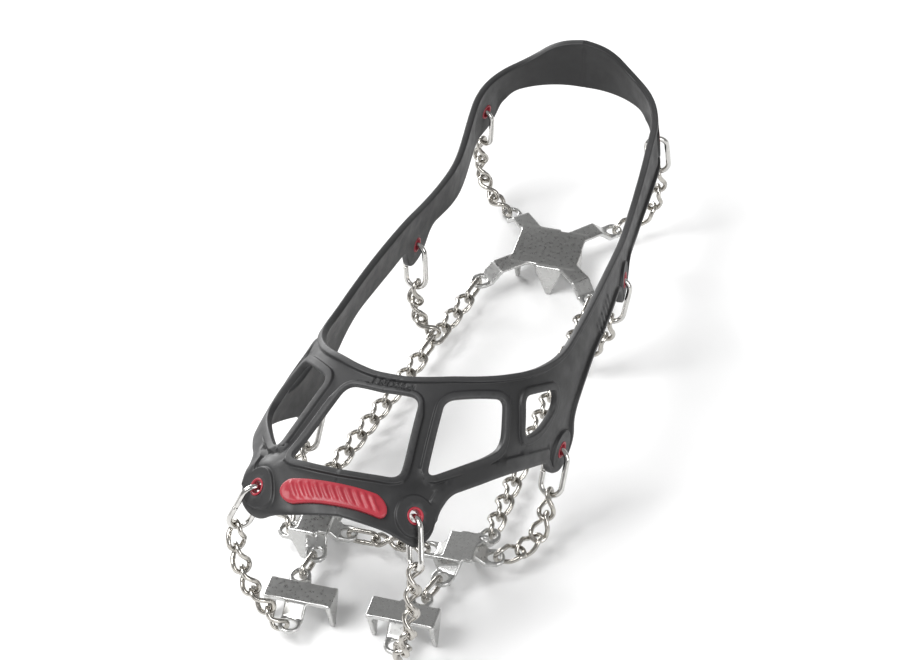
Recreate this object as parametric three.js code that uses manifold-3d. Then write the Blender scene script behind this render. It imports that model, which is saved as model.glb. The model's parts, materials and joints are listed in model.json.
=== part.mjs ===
// Slip-on ice cleats for one left shoe, toe towards -Y, outer side of the foot towards +X, millimetres.
// One elastomer harness hugs the upper. Eight oval rings hang from its eyelets, each starts a run of
// twisted steel links, and the runs hold a net of five spiked plates under the sole.
// The plane z = 0 is where the sole bears on the plates.
import * as THREE from 'three';
import { mergeVertices } from 'three/addons/utils/BufferGeometryUtils.js';
import { TessellateModifier } from 'three/addons/modifiers/TessellateModifier.js';
import Module from 'manifold-3d';

const wasm = await Module();
wasm.setup();

// ---- Driving dimensions ----
// The shoe that the harness hugs: at each y, the half width, the height of the top, the height where
// the sides turn upright, and how far the centreline has drifted sideways.
const LAST = [
  [-142, 22, 53, 33, -13],
  [-128, 35.5, 59, 33, -20],
  [-108, 43.5, 63.5, 33, -17.5],
  [-85, 47, 72.5, 33, -13],
  [-57, 47.5, 84, 33, -6],
  [-18, 47, 94, 31, 0.5],
  [28, 43.5, 101, 26, 4],
  [86, 38, 107, 20, 5],
  [118, 38.5, 107, 20, 5],
];
const LAST_POWER = 2.3;
const HEEL_Y = 118;
const HEEL_RADIUS = 38.5;
const HEEL_SEAM = HEEL_Y + (HEEL_RADIUS * Math.PI) / 2;
const SKIRT = 60;

const SHEET = 3;
const GAP = 0.3;
const MESH_STEP = 18;

const EYELET_HOLE = 4;
const EYELET_OUTER = 3.3;
const EYELET_BORE = 2.35;
const EYELET_DEPTH = 3.4;

const LABEL_LENGTH = 37.5;
const LABEL_WIDTH = 7.5;
const LABEL_AT = -130.6;
const LABEL_THICK = 1.2;
const LABEL_GAP = 0.8;

const RING_WIRE = 1.15;
const RING_LENGTH = 22;
const RING_WIDTH = 11;
const RING_LEAN = 0.6;
const LINK_WIRE = 1;
const LINK_LENGTH = 14.2;
const LINK_WIDTH = 8;
const LINK_PLAY = 0.4;
const LINK_PITCH = LINK_LENGTH - 4 * LINK_WIRE - LINK_PLAY;

const PLATE_THICK = 1.8;
const CHAIN_DEPTH = 5.5;
const EYE_HOLE = 2.6;
const EYE_RADIUS = 4.3;
const EYE_RIM = (EYE_HOLE + EYE_RADIUS) / 2;
const RIM_CONTACT = 1.5;
const WELD = 0.7;
const SETTLE_PASSES = 200;
const SLIVER = 0.02;
const SPIKE_INSET = 0.5;
const STEP_IN = 0.1;
const ARM_START = 3;
const OVAL_STEPS = 12;
const SPIKE_TIP = 15;
const SPIKE_BASE = 11;
const FOREFOOT_AXIS = -13;
const TOE_SPREAD = 6.2;
const HEEL_AXIS = 5;

// ---- Materials ----
const material = (color, roughness, metalness) => new THREE.MeshStandardMaterial({ color, roughness, metalness });
const ELASTOMER = material(0x2b2b2d, 0.55, 0);
const RED = material(0xb82c42, 0.45, 0);
const CHAIN_STEEL = material(0xb9b6ae, 0.22, 1);
const RING_STEEL = material(0xc4c2bc, 0.18, 1);
const PLATE_STEEL = material(0xa8a8a6, 0.35, 1);

const cleats = new THREE.Group();
const vec = (p) => new THREE.Vector3(...p);

function addPiece(name, geometry, look, hinge) {
  const mesh = new THREE.Mesh(geometry, look);
  mesh.name = name;
  mesh.userData.hinge = hinge;
  cleats.add(mesh);
  return mesh;
}

// ---- The last: a smooth shoe shape addressed by pattern coordinates ----
// s is the distance from the top centreline down a cross-section, t is y as far as the middle of the
// heel and then the distance round it.
function profile(y, column) {
  const inner = LAST.findIndex((row) => row[0] >= y);
  const k = Math.max((inner < 0 ? LAST.length - 1 : inner) - 1, 0);
  const slope = (i) => {
    const before = LAST[Math.max(i - 1, 0)];
    const after = LAST[Math.min(i + 1, LAST.length - 1)];
    return (after[column] - before[column]) / (after[0] - before[0]);
  };
  const span = LAST[k + 1][0] - LAST[k][0];
  const u = THREE.MathUtils.clamp((y - LAST[k][0]) / span, 0, 1);
  const rise = u * u * (3 - 2 * u);
  return LAST[k][column] * (1 - rise) + LAST[k + 1][column] * rise
    + span * u * (1 - u) * ((1 - u) * slope(k) - u * slope(k + 1));
}

const sections = new Map();
function section(t) {
  const y = Math.min(t, HEEL_Y);
  if (!sections.has(y)) {
    const [width, top, base, drift] = [1, 2, 3, 4].map((column) => profile(y, column));
    const steps = 32;
    const points = [];
    for (let i = 0; i <= steps; i++) {
      const angle = (i / steps) * (Math.PI / 2);
      const x = width * Math.sin(angle) ** (2 / LAST_POWER);
      const z = base + (top - base) * Math.max(Math.cos(angle), 0) ** (2 / LAST_POWER);
      points.push(new THREE.Vector2(x, z));
    }
    points.push(new THREE.Vector2(width, base - SKIRT));
    const along = [0];
    for (let i = 1; i < points.length; i++) along.push(along[i - 1] + points[i].distanceTo(points[i - 1]));
    sections.set(y, { points, along, drift });
  }
  return sections.get(y);
}

function lastPoint(s, t) {
  const { points, along, drift } = section(t);
  const down = Math.abs(s);
  let k = along.findIndex((d) => d >= down);
  k = Math.max(k < 0 ? along.length - 1 : k, 1);
  const mix = (down - along[k - 1]) / (along[k] - along[k - 1]);
  const { x, y: z } = points[k - 1].clone().lerp(points[k], mix);
  const side = s < 0 ? -1 : 1;
  const round = Math.max(t - HEEL_Y, 0) / HEEL_RADIUS;
  const y = Math.min(t, HEEL_Y) + x * Math.sin(round);
  return new THREE.Vector3(drift + side * x * Math.cos(round), y, z);
}

// The outward normal, from the two tangents of the last.
function lastNormal(s, t) {
  const step = 0.5;
  const side = s < 0 ? -1 : 1;
  const down = Math.max(Math.abs(s), step);
  const around = Math.min(t, HEEL_SEAM - step);
  const ds = lastPoint(side * (down + step), around).sub(lastPoint(side * (down - step), around));
  const dt = lastPoint(side * down, around + step).sub(lastPoint(side * down, around - step));
  const normal = ds.cross(dt).multiplyScalar(side);
  if (Math.abs(s) < step || t > HEEL_SEAM - step) normal.x = 0;
  return normal.normalize();
}

const onLast = (s, t, height) => lastPoint(s, t).addScaledVector(lastNormal(s, t), height);

// ---- Shared geometry helpers ----
function bare(geometry) {
  geometry.deleteAttribute('normal');
  geometry.deleteAttribute('uv');
  return mergeVertices(geometry, 1e-3);
}

function toManifold(geometry) {
  const merged = bare(geometry);
  const vertProperties = new Float32Array(merged.attributes.position.array);
  const triVerts = new Uint32Array(merged.index.array);
  return new wasm.Manifold(new wasm.Mesh({ numProp: 3, vertProperties, triVerts }));
}

function fromManifold(solid) {
  const mesh = solid.getMesh();
  const geometry = new THREE.BufferGeometry();
  geometry.setAttribute('position', new THREE.BufferAttribute(mesh.vertProperties, 3));
  geometry.setIndex(new THREE.BufferAttribute(mesh.triVerts, 1));
  return geometry;
}

// Adds a closed loop of [s, t, corner radius] points to a path, each corner rounded by a curve.
function roundedLoop(path, points) {
  points.forEach(([s, t, radius], i) => {
    const corner = new THREE.Vector2(s, t);
    const toward = ([a, b]) => new THREE.Vector2(a, b).sub(corner);
    const before = toward(points.at(i - 1));
    const after = toward(points[(i + 1) % points.length]);
    const reach = Math.min(radius, before.length() / 2, after.length() / 2);
    const enter = corner.clone().addScaledVector(before.normalize(), reach);
    const leave = corner.clone().addScaledVector(after.normalize(), reach);
    if (i === 0) path.moveTo(enter.x, enter.y);
    else path.lineTo(enter.x, enter.y);
    if (reach > 0) path.quadraticCurveTo(s, t, leave.x, leave.y);
  });
  path.closePath();
  return path;
}

function circlePoints(x, y, radius, count) {
  const angles = Array.from({ length: count }, (_, i) => (-2 * Math.PI * i) / count);
  return angles.map((a) => new THREE.Vector2(x + radius * Math.cos(a), y + radius * Math.sin(a)));
}

// A flat pattern piece, cut into small triangles so that it can bend round the last.
function patternSlab(shape, curveSegments) {
  const flat = new THREE.ExtrudeGeometry(shape, { depth: 1, bevelEnabled: false, curveSegments });
  const loose = flat.index ? flat.toNonIndexed() : flat;
  return new TessellateModifier(MESH_STEP, 40).modify(loose);
}

// Bends a slab of (s, t, 0..1) points on to the last, between two heights over it.
function bend(geometry, low, high) {
  const at = geometry.attributes.position;
  for (let i = 0; i < at.count; i++) {
    const p = onLast(at.getX(i), at.getY(i), low + (high - low) * at.getZ(i));
    at.setXYZ(i, p.x, p.y, p.z);
  }
  return geometry;
}

// ---- Harness ----
// Eyelet centres as [s, t] on the half pattern.
const EYELETS = {
  toe: [30.5, -126.5],
  ball: [91, -49],
  arch: [89, 42],
  rear: [84, 129],
};

// The half pattern from the toe edge along the lower edge to the heel, then back along the top edge.
const HARNESS_EDGE = [
  [0, -137.3, 0], [9, -138, 5], [19, -137, 6], [31.5, -135, 5], [37.5, -131.5, 4], [41, -126.5, 4],
  [38.5, -118.5, 5], [39, -112, 6], [58.6, -87.5, 20], [76, -69.5, 8], [84, -61.5, 5], [93, -59, 9],
  [102.5, -49, 9], [98, -37, 8], [84, -38, 8], [76.5, -19, 16], [81, 10, 16], [84, 31, 5],
  [97.5, 35, 8], [98.5, 48, 8], [90.5, 57, 6], [101, 90, 18], [96, 119, 5], [94, 136, 9],
  [82, 143, 8], [84, HEEL_SEAM, 0], [58, HEEL_SEAM, 0], [60, HEEL_SEAM - 13, 8], [68, HEEL_SEAM - 25, 12],
  [71, 119, 16], [83, 92, 20], [77, 58, 20], [67, 27, 20], [61.5, 2, 16], [57.5, -23, 14],
  [55.5, -38, 12], [46, -55, 14], [31, -70, 16], [14, -78, 10], [6, -80.2, 4], [0, -80.3, 0],
];
const CENTRE_WINDOW = [[0, -87.2, 0], [13.8, -86.2, 4], [20.6, -118, 4.5], [8, -120.4, 8], [0, -120.8, 0]];
const FLANK_WINDOW = [[22.2, -83.9, 3.5], [40.9, -71.7, 3], [49.8, -84.5, 6], [45, -92.5, 7], [28.3, -112.5, 4]];
const SIDE_WINDOW = [[47.7, -64.6, 3], [61, -48.8, 3.5], [66.3, -52.5, 4], [64.6, -64.5, 6], [57.3, -74.3, 3.5]];

function harness() {
  // The centre window crosses the centreline, so it is a notch in the half pattern.
  const outline = [...HARNESS_EDGE, ...CENTRE_WINDOW];
  const shape = roundedLoop(new THREE.Shape(), outline);
  for (const window of [FLANK_WINDOW, SIDE_WINDOW]) shape.holes.push(roundedLoop(new THREE.Path(), window));
  for (const [s, t] of Object.values(EYELETS)) {
    shape.holes.push(new THREE.Path(circlePoints(s, t, EYELET_HOLE, 12)));
  }
  const half = patternSlab(shape, 3);
  const source = half.attributes.position;
  const right = [];
  const left = [];
  for (let i = 0; i < source.count; i += 3) {
    const corners = [0, 1, 2].map((k) => new THREE.Vector3().fromBufferAttribute(source, i + k));
    const onCentreline = corners.every((p) => p.x < 1e-6);
    const onHeelSeam = corners.every((p) => p.y > HEEL_SEAM - 1e-6);
    if (onCentreline || onHeelSeam) continue;
    right.push(...corners);
    left.push(...corners.reverse().map((p) => new THREE.Vector3(-p.x, p.y, p.z)));
  }
  const bent = [...right, ...left].map((p) => onLast(p.x, p.y, SHEET * p.z));
  return flipIfInsideOut(bare(new THREE.BufferGeometry().setFromPoints(bent)));
}

function flipIfInsideOut(geometry) {
  const at = geometry.attributes.position;
  const index = geometry.index.array;
  const [a, b, c] = [new THREE.Vector3(), new THREE.Vector3(), new THREE.Vector3()];
  let volume = 0;
  for (let i = 0; i < index.length; i += 3) {
    [a, b, c].forEach((p, k) => p.fromBufferAttribute(at, index[i + k]));
    volume += a.dot(b.cross(c));
  }
  if (volume < 0) {
    for (let i = 0; i < index.length; i += 3) [index[i], index[i + 1]] = [index[i + 1], index[i]];
  }
  return geometry;
}

// ---- Label: a pill that lies on the harness between the toe eyelets ----
function label() {
  const reach = (LABEL_LENGTH - LABEL_WIDTH) / 2;
  const pill = new THREE.Shape();
  pill.absarc(reach, LABEL_AT, LABEL_WIDTH / 2, -Math.PI / 2, Math.PI / 2, false);
  pill.absarc(-reach, LABEL_AT, LABEL_WIDTH / 2, Math.PI / 2, (3 * Math.PI) / 2, false);
  const slab = patternSlab(pill, 6);
  return flipIfInsideOut(bare(bend(slab, SHEET + LABEL_GAP, SHEET + LABEL_GAP + LABEL_THICK)));
}

// ---- Eyelets ----
function eyeletBush(centre, normal) {
  const half = EYELET_DEPTH / 2;
  const corners = [[EYELET_BORE, -half], [EYELET_OUTER, -half], [EYELET_OUTER, half], [EYELET_BORE, half]];
  corners.push(corners[0]);
  const bush = new THREE.LatheGeometry(corners.map(([r, h]) => new THREE.Vector2(r, h)), 10);
  bush.applyQuaternion(new THREE.Quaternion().setFromUnitVectors(new THREE.Vector3(0, 1, 0), normal));
  bush.translate(centre.x, centre.y, centre.z);
  return flipIfInsideOut(bare(bush));
}

// ---- Wire pieces ----
// The centreline of an oval of wire about the origin: u along it, v across its first crown, w across its
// last one. The oval turns by the twist from one crown to the other. Each quarter crown and each leg takes
// a sixth of the loop.
class OvalWire extends THREE.Curve {
  constructor(halfLength, halfWidth, startAngle, twist) {
    super();
    Object.assign(this, { straight: halfLength - halfWidth, halfWidth, startAngle, twist });
  }
  getUtoTmapping(part) {
    return part;
  }
  getPoint(part, target = new THREE.Vector3()) {
    const round = 2 * THREE.MathUtils.euclideanModulo(part, 1);
    const side = round < 1 ? 1 : -1;
    const middle = 3 * (side > 0 ? round : 2 - round) - 1.5;
    const angle = (Math.max(Math.abs(middle) - 0.5, 0) * Math.PI) / 2;
    const onLeg = 2 * THREE.MathUtils.clamp(middle, -0.5, 0.5) * this.straight;
    const u = onLeg + Math.sign(middle) * this.halfWidth * Math.sin(angle);
    const across = side * this.halfWidth * Math.cos(angle);
    const mix = THREE.MathUtils.smoothstep(u, -this.straight - 1, this.straight + 1);
    const turn = this.startAngle - this.twist * mix;
    return target.set(u, across * Math.cos(turn), across * Math.sin(turn));
  }
}

const TANGENT = 0;
const UPRIGHT = Math.PI / 2;
const DOWN = new THREE.Vector3(0, 0, -1);

function wireOval({ length, width, wire, start = TANGENT, twist = 0, sides = 6 }) {
  const curve = new OvalWire(length / 2 - wire, width / 2 - wire, start, twist);
  return bare(new THREE.TubeGeometry(curve, OVAL_STEPS, wire, sides, true));
}

// Stands a piece made along u on the line from one point to another, its w axis towards outward.
function place(geometry, from, to, outward) {
  const u = to.clone().sub(from).normalize();
  const w = outward.clone().addScaledVector(u, -outward.dot(u)).normalize();
  const v = w.clone().cross(u);
  const frame = new THREE.Matrix4().makeBasis(u, v, w).setPosition(from.clone().lerp(to, 0.5));
  return geometry.applyMatrix4(frame);
}

// The line through the two points that hold a piece, which it turns about.
const hingeThrough = (from, to) => {
  const axis = to.clone().sub(from).normalize();
  return { at: from.clone().lerp(to, 0.5).toArray(), axis: axis.toArray() };
};

const twistedLink = () => wireOval({ length: LINK_LENGTH, width: LINK_WIDTH, wire: LINK_WIRE, twist: UPRIGHT });

// The ring hangs in the eyelet's bore and lies across the harness edge.
function ring(name, eye, normal, toward) {
  const along = toward.clone().sub(eye);
  along.addScaledVector(normal, -along.dot(normal) * (1 - RING_LEAN)).normalize();
  const reach = RING_LENGTH - 2 * RING_WIRE;
  const top = eye.clone().addScaledVector(along, -0.2);
  const bottom = top.clone().addScaledVector(along, reach);
  const oval = wireOval({ length: RING_LENGTH, width: RING_WIDTH, wire: RING_WIRE, start: UPRIGHT });
  addPiece(name, place(oval, top, bottom, normal), RING_STEEL, hingeThrough(top, bottom));
  return bottom.addScaledVector(along, -RING_WIRE - GAP / 2);
}

// The outward axes of a run's links. The ring's normal is carried along the run, and then turned evenly
// about it until the last crown is upright. A link looks the same after half a turn.
function outwardAxes(directions, normal) {
  const square = (v, u) => v.clone().addScaledVector(u, -v.dot(u)).normalize();
  const axes = [square(normal, directions[0])];
  for (let i = 1; i < directions.length; i++) {
    const bendTurn = new THREE.Quaternion().setFromUnitVectors(directions[i - 1], directions[i]);
    axes.push(axes[i - 1].clone().applyQuaternion(bendTurn));
  }
  const last = directions.at(-1);
  const end = square(DOWN, last);
  const missing = Math.atan2(last.dot(axes.at(-1).clone().cross(end)), axes.at(-1).dot(end));
  const turn = missing - Math.PI * Math.round(missing / Math.PI);
  return axes.map((axis, i) => axis.applyAxisAngle(directions[i], (turn * i) / (directions.length - 1)));
}

// Moves the points between the two ends until no link spans more than one pitch.
function settle(contacts) {
  const lastLink = contacts.length - 2;
  for (let pass = 0; pass < SETTLE_PASSES; pass++) {
    for (let i = 0; i <= lastLink; i++) {
      const link = contacts[i + 1].clone().sub(contacts[i]);
      link.multiplyScalar(Math.max(1 - LINK_PITCH / link.length(), 0) / 2);
      if (i > 0) contacts[i].add(link);
      if (i < lastLink) contacts[i + 1].sub(link);
    }
  }
}

// Links end to end along a smooth path. The first crosses the ring, which stands on the harness.
function chainRun(name, contact, waypoints, count, normal) {
  const path = new THREE.CatmullRomCurve3([contact, ...waypoints], false, 'centripetal');
  const contacts = path.getSpacedPoints(count);
  settle(contacts);
  const directions = contacts.slice(1).map((to, i) => to.clone().sub(contacts[i]).normalize());
  outwardAxes(directions, normal).forEach((outward, i) => {
    const [from, to] = [contacts[i], contacts[i + 1]];
    addPiece(`${name}_${i + 1}`, place(twistedLink(), from, to, outward), CHAIN_STEEL, hingeThrough(from, to));
  });
}

// ---- Chain stretches under the sole, each one joined piece ----
// Links in a straight row from one plate eye to another. A twisted link turns from upright to flat, and an
// upright or flat one keeps its turn all along.
function chainStretch(name, from, to, kinds) {
  const direction = to.clone().sub(from).normalize();
  const overlap = kinds.length > 1 ? WELD : -GAP;
  const inset = EYE_RIM - RIM_CONTACT - (overlap + GAP) / 2;
  const first = from.clone().addScaledVector(direction, inset);
  const last = to.clone().addScaledVector(direction, -inset);
  const pitch = first.distanceTo(last) / kinds.length;
  const length = pitch + 4 * LINK_WIRE - overlap;
  const turns = {
    twisted: { start: UPRIGHT, twist: UPRIGHT },
    upright: { start: UPRIGHT },
    flat: { start: TANGENT },
  };
  let joined = null;
  kinds.forEach((kind, i) => {
    const a = first.clone().addScaledVector(direction, pitch * i);
    const b = first.clone().addScaledVector(direction, pitch * (i + 1));
    const oval = wireOval({ length, width: LINK_WIDTH, wire: LINK_WIRE, sides: 5, ...turns[kind] });
    const solid = toManifold(place(oval, a, b, DOWN));
    joined = joined ? joined.add(solid) : solid;
  });
  addPiece(name, bare(fromManifold(joined)), CHAIN_STEEL, hingeThrough(from, to));
  return (i) => first.clone().addScaledVector(direction, pitch * (i + 0.5));
}

// ---- Spike plates ----
const extrude = (shape, depth) => new THREE.ExtrudeGeometry(shape, { depth, bevelEnabled: false, curveSegments: 6 });
const polygon = (points) => new THREE.Shape(points.map(([x, y]) => new THREE.Vector2(x, y)));

// A flat stamping from z = -thickness to 0.
const sheet = (shape) => toManifold(extrude(shape, PLATE_THICK).translate(0, 0, -PLATE_THICK));

// An arm that steps down from under the pad to the chain line and ends in a round eye. Its faces lie a
// little inside the pad's and the eye's.
function eyeArm(reach, heading) {
  const thick = PLATE_THICK - 2 * STEP_IN;
  const high = -PLATE_THICK + STEP_IN;
  const low = -CHAIN_DEPTH - thick / 2;
  const bendStart = Math.max(reach - 9, ARM_START + 0.5);
  const bendEnd = reach - 4;
  const side = polygon([
    [ARM_START, high], [bendStart, high], [bendEnd, low], [reach, low],
    [reach, low + thick], [bendEnd + 1, low + thick], [bendStart + 1, high + thick], [ARM_START, high + thick],
  ]);
  const half = EYE_RADIUS - STEP_IN;
  const web = extrude(side, 2 * half).rotateX(Math.PI / 2).translate(0, half, 0);
  const eye = new THREE.CylinderGeometry(EYE_RADIUS, EYE_RADIUS, PLATE_THICK, 16);
  eye.rotateX(Math.PI / 2).translate(reach, 0, -CHAIN_DEPTH);
  const arm = toManifold(web).add(toManifold(eye));
  return arm.rotate([0, 0, THREE.MathUtils.radToDeg(heading)]);
}

// A spike folded down from the pad's edge: a tapered tooth with a narrow tip.
function spike([x, y], heading) {
  const half = SPIKE_BASE / 2;
  const top = -2 * STEP_IN;
  const tooth = polygon([[-half, top], [-half, -3], [-1, -SPIKE_TIP], [1, -SPIKE_TIP], [half, -3], [half, top]]);
  const blade = extrude(tooth, PLATE_THICK).translate(0, 0, SPIKE_INSET - PLATE_THICK);
  const solid = toManifold(blade.rotateX(Math.PI / 2));
  return solid.rotate([0, 0, THREE.MathUtils.radToDeg(heading)]).translate([x, y, 0]);
}

function spikePlate(name, centre, padCorners, eyes, spikes, hinge) {
  let plate = sheet(polygon(padCorners));
  for (const [x, y] of eyes) plate = plate.add(eyeArm(Math.hypot(x, y), Math.atan2(y, x)));
  for (const [place2d, heading] of spikes) plate = plate.add(spike(place2d, heading));
  for (const [x, y] of eyes) {
    const drill = new THREE.CylinderGeometry(EYE_HOLE, EYE_HOLE, 4 * PLATE_THICK, 16).rotateX(Math.PI / 2);
    plate = plate.subtract(toManifold(drill.translate(x, y, -CHAIN_DEPTH)));
  }
  const geometry = fromManifold(plate.translate([centre[0], centre[1], 0]).simplify(SLIVER));
  addPiece(name, bare(geometry), PLATE_STEEL, hinge);
}

// ---- Assembly ----
addPiece('harness', harness(), ELASTOMER);
addPiece('label', label(), RED);

// Places of the plates' eyes, right side, on the chain plane; the left side mirrors them.
const acrossForefoot = ([x, y]) => [2 * FOREFOOT_AXIS - x, y];
const acrossToe = ([x, y]) => [2 * FOREFOOT_AXIS - TOE_SPREAD - x, y];
const acrossHeel = ([x, y]) => [2 * HEEL_AXIS - x, y];
const TOE_PLATE = { centre: [4, -126], front: [4.5, -138.5], rear: [8, -113.5] };
const BALL_PLATE = { centre: [16, -87], front: [12, -100.5], outer: [28.5, -85], rear: [24, -74], inner: [3.5, -87] };
const BALL_OUTER_LEFT = [-52, -91];
const HEEL_PLATE = { centre: [HEEL_AXIS, 95], front: [29, 72], rear: [27.5, 119] };

const onChainPlane = ([x, y]) => new THREE.Vector3(x, y, -CHAIN_DEPTH);

// Where the last link of a run bears on the rim of a plate's eye, when it comes from a given point.
function eyeContact(eye, from) {
  const centre = onChainPlane(eye);
  const outwards = from.clone().sub(centre).setZ(0).normalize();
  const rim = centre.addScaledVector(outwards, EYE_RIM);
  const travel = rim.clone().sub(from).normalize();
  return rim.addScaledVector(travel, RIM_CONTACT);
}

const mirrorAlongFoot = (p) => new THREE.Vector3(2 * profile(Math.min(p.y, HEEL_Y), 4) - p.x, p.y, p.z);

// Waypoints of the runs from the ring to the last free point, then the plate's eye.
const RUNS = [
  {
    name: 'toe', side: 'right', count: 5, eye: TOE_PLATE.front,
    points: [[11.5, -136.8, 37], [12.5, -140.5, 28.5], [12.6, -143, 18.8], [12, -145.6, 9.2], [9.5, -145.3, -0.5]],
  },
  {
    name: 'toe', side: 'left', count: 5, eye: acrossToe(TOE_PLATE.front),
    points: [[-56.5, -132, 31], [-57, -134.5, 27], [-54, -137, 17.5], [-49.5, -139, 8.5], [-43, -139.5, 0.5]],
  },
  {
    name: 'ball', side: 'right', count: 4, eye: BALL_PLATE.outer,
    points: [[43.5, -56.5, 8], [43.3, -62.6, 0.8], [42.2, -69, -4.2], [39.2, -75.8, -6.4]],
  },
  {
    name: 'ball', side: 'left', count: 4, eye: BALL_OUTER_LEFT,
    points: [[-55.5, -56.5, 8], [-57.3, -65, 0.3], [-58.0, -74, -4.2], [-56.2, -82.5, -6.0]],
  },
  {
    name: 'rear', side: 'right', count: 4, eye: HEEL_PLATE.rear,
    points: [[44.3, 131, 26.5], [44.6, 130.5, 17.5], [43.8, 130, 8], [40.5, 127.5, -0.5]],
  },
  {
    name: 'rear', side: 'left', count: 4, eye: acrossHeel(HEEL_PLATE.rear), mirrored: true,
  },
];
for (const run of RUNS) {
  if (run.mirrored) {
    const other = RUNS.find((r) => r.name === run.name && !r.mirrored);
    run.points = other.points.map((p) => mirrorAlongFoot(vec(p)).toArray());
  }
}

function hangRing(name, side) {
  const [s, t] = EYELETS[name];
  const sign = side === 'left' ? -1 : 1;
  const normal = lastNormal(sign * s, t);
  const eye = onLast(sign * s, t, SHEET / 2);
  addPiece(`eyelet_${name}_${side}`, eyeletBush(eye, normal), RED);
  return { normal, hang: (toward) => ring(`ring_${name}_${side}`, eye, normal, toward) };
}

for (const run of RUNS) {
  const points = run.points.map(vec);
  const { normal, hang } = hangRing(run.name, run.side);
  const waypoints = [...points.slice(1), eyeContact(run.eye, points.at(-1))];
  chainRun(`link_${run.name}_${run.side}`, hang(points[0]), waypoints, run.count, normal);
}

// The long chains join the forefoot to the heel. Their flat link takes the arch run.
const LONG_CHAIN = [
  ...Array(9).fill('twisted'), 'upright', 'flat', 'twisted', 'twisted', 'upright',
];
const FLAT_LINK = LONG_CHAIN.indexOf('flat');
const LONG_ENDS = {
  right: [BALL_PLATE.rear, HEEL_PLATE.front],
  left: [acrossForefoot(BALL_PLATE.rear), acrossHeel(HEEL_PLATE.front)],
};
const ARCH_POINTS = {
  right: [[43.2, 37.5, 17.5], [43.5, 36.5, 8.3], [37.5, 34.3, 0]],
  left: [[-35.2, 37.5, 17.5], [-37.5, 37, 8], [-34.5, 35.3, -0.7]],
};
for (const side of ['right', 'left']) {
  const [from, to] = LONG_ENDS[side].map(onChainPlane);
  const linkCentre = chainStretch(`long_chain_${side}`, from, to, LONG_CHAIN);
  const outwards = side === 'right' ? 1 : -1;
  const legOffset = LINK_WIDTH / 2 - LINK_WIRE - LINK_WIRE - GAP / 2;
  const hook = linkCentre(FLAT_LINK).add(new THREE.Vector3(outwards * legOffset, 0, 0));
  const points = ARCH_POINTS[side].map(vec);
  const { normal, hang } = hangRing('arch', side);
  chainRun(`link_arch_${side}`, hang(points[0]), [...points.slice(1), hook], 3, normal);
}

// The short links between the toe and ball plates, and the chain across the ball.
const toePlaces = { right: (p) => p, left: acrossToe };
const ballPlaces = { right: (p) => p, left: acrossForefoot };
for (const side of ['right', 'left']) {
  const from = onChainPlane(toePlaces[side](TOE_PLATE.rear));
  const to = onChainPlane(ballPlaces[side](BALL_PLATE.front));
  chainStretch(`link_forefoot_${side}`, from, to, ['upright']);
}
const ballInner = [BALL_PLATE.inner, acrossForefoot(BALL_PLATE.inner)].map(onChainPlane);
chainStretch('cross_chain', ...ballInner, ['twisted', 'twisted', 'upright']);

// The plates. Pads and spikes are laid out about the plate's centre.
const fromCentre = (centre, p) => [p[0] - centre[0], p[1] - centre[1]];
for (const [side, mirror] of Object.entries(toePlaces)) {
  const centre = mirror(TOE_PLATE.centre);
  const eyes = [TOE_PLATE.front, TOE_PLATE.rear].map((p) => fromCentre(centre, mirror(p)));
  const pad = [[-13, -5], [13, -5], [13, 5], [-13, 5]];
  const spikes = [[[-11, 0], Math.PI / 2], [[13, 0], Math.PI / 2]];
  const hinge = hingeThrough(...[TOE_PLATE.front, TOE_PLATE.rear].map((p) => onChainPlane(mirror(p))));
  spikePlate(`plate_toe_${side}`, centre, pad, eyes, spikes, hinge);
}
for (const [side, mirror] of Object.entries(ballPlaces)) {
  const centre = mirror(BALL_PLATE.centre);
  const outer = side === 'left' ? BALL_OUTER_LEFT : BALL_PLATE.outer;
  const places = [mirror(BALL_PLATE.front), outer, mirror(BALL_PLATE.inner), mirror(BALL_PLATE.rear)];
  const eyes = places.map((p) => fromCentre(centre, p));
  const pad = [[-6, -7], [6, -7], [6, 7], [-6, 7]];
  const spikes = [[[-3.5, -7], Math.PI], [[3.5, 7], 0]];
  const hinge = hingeThrough(onChainPlane(places[0]), onChainPlane(places.at(-1)));
  spikePlate(`plate_ball_${side}`, centre, pad, eyes, spikes, hinge);
}
{
  const { centre, front, rear } = HEEL_PLATE;
  const places = [front, rear].flatMap((p) => [p, acrossHeel(p)]);
  const eyes = places.map((p) => fromCentre(centre, p));
  const pad = [[-14, -12], [14, -12], [14, 12], [-14, 12]];
  const spikes = [[[-12, -4], Math.PI / 2], [[14, -4], Math.PI / 2], [[-3, 12], 0], [[3, -12], Math.PI]];
  const middle = onChainPlane(centre);
  const hinge = hingeThrough(middle, middle.clone().setX(centre[0] + 1));
  spikePlate('plate_heel', centre, pad, eyes, spikes, hinge);
}

export default cleats;
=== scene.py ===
"""Looks of the slip-on ice cleats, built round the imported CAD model.

The harness, its label and eyelets, the rings, every chain link and the spiked plates are modelled here as
smooth pieces that stand for the plain CAD solids. Pattern sizes are in millimetres, Blender's in metres.
"""

import json
import math

import bmesh
import bpy
import numpy as np
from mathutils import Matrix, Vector
from mathutils.geometry import delaunay_2d_cdt

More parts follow.
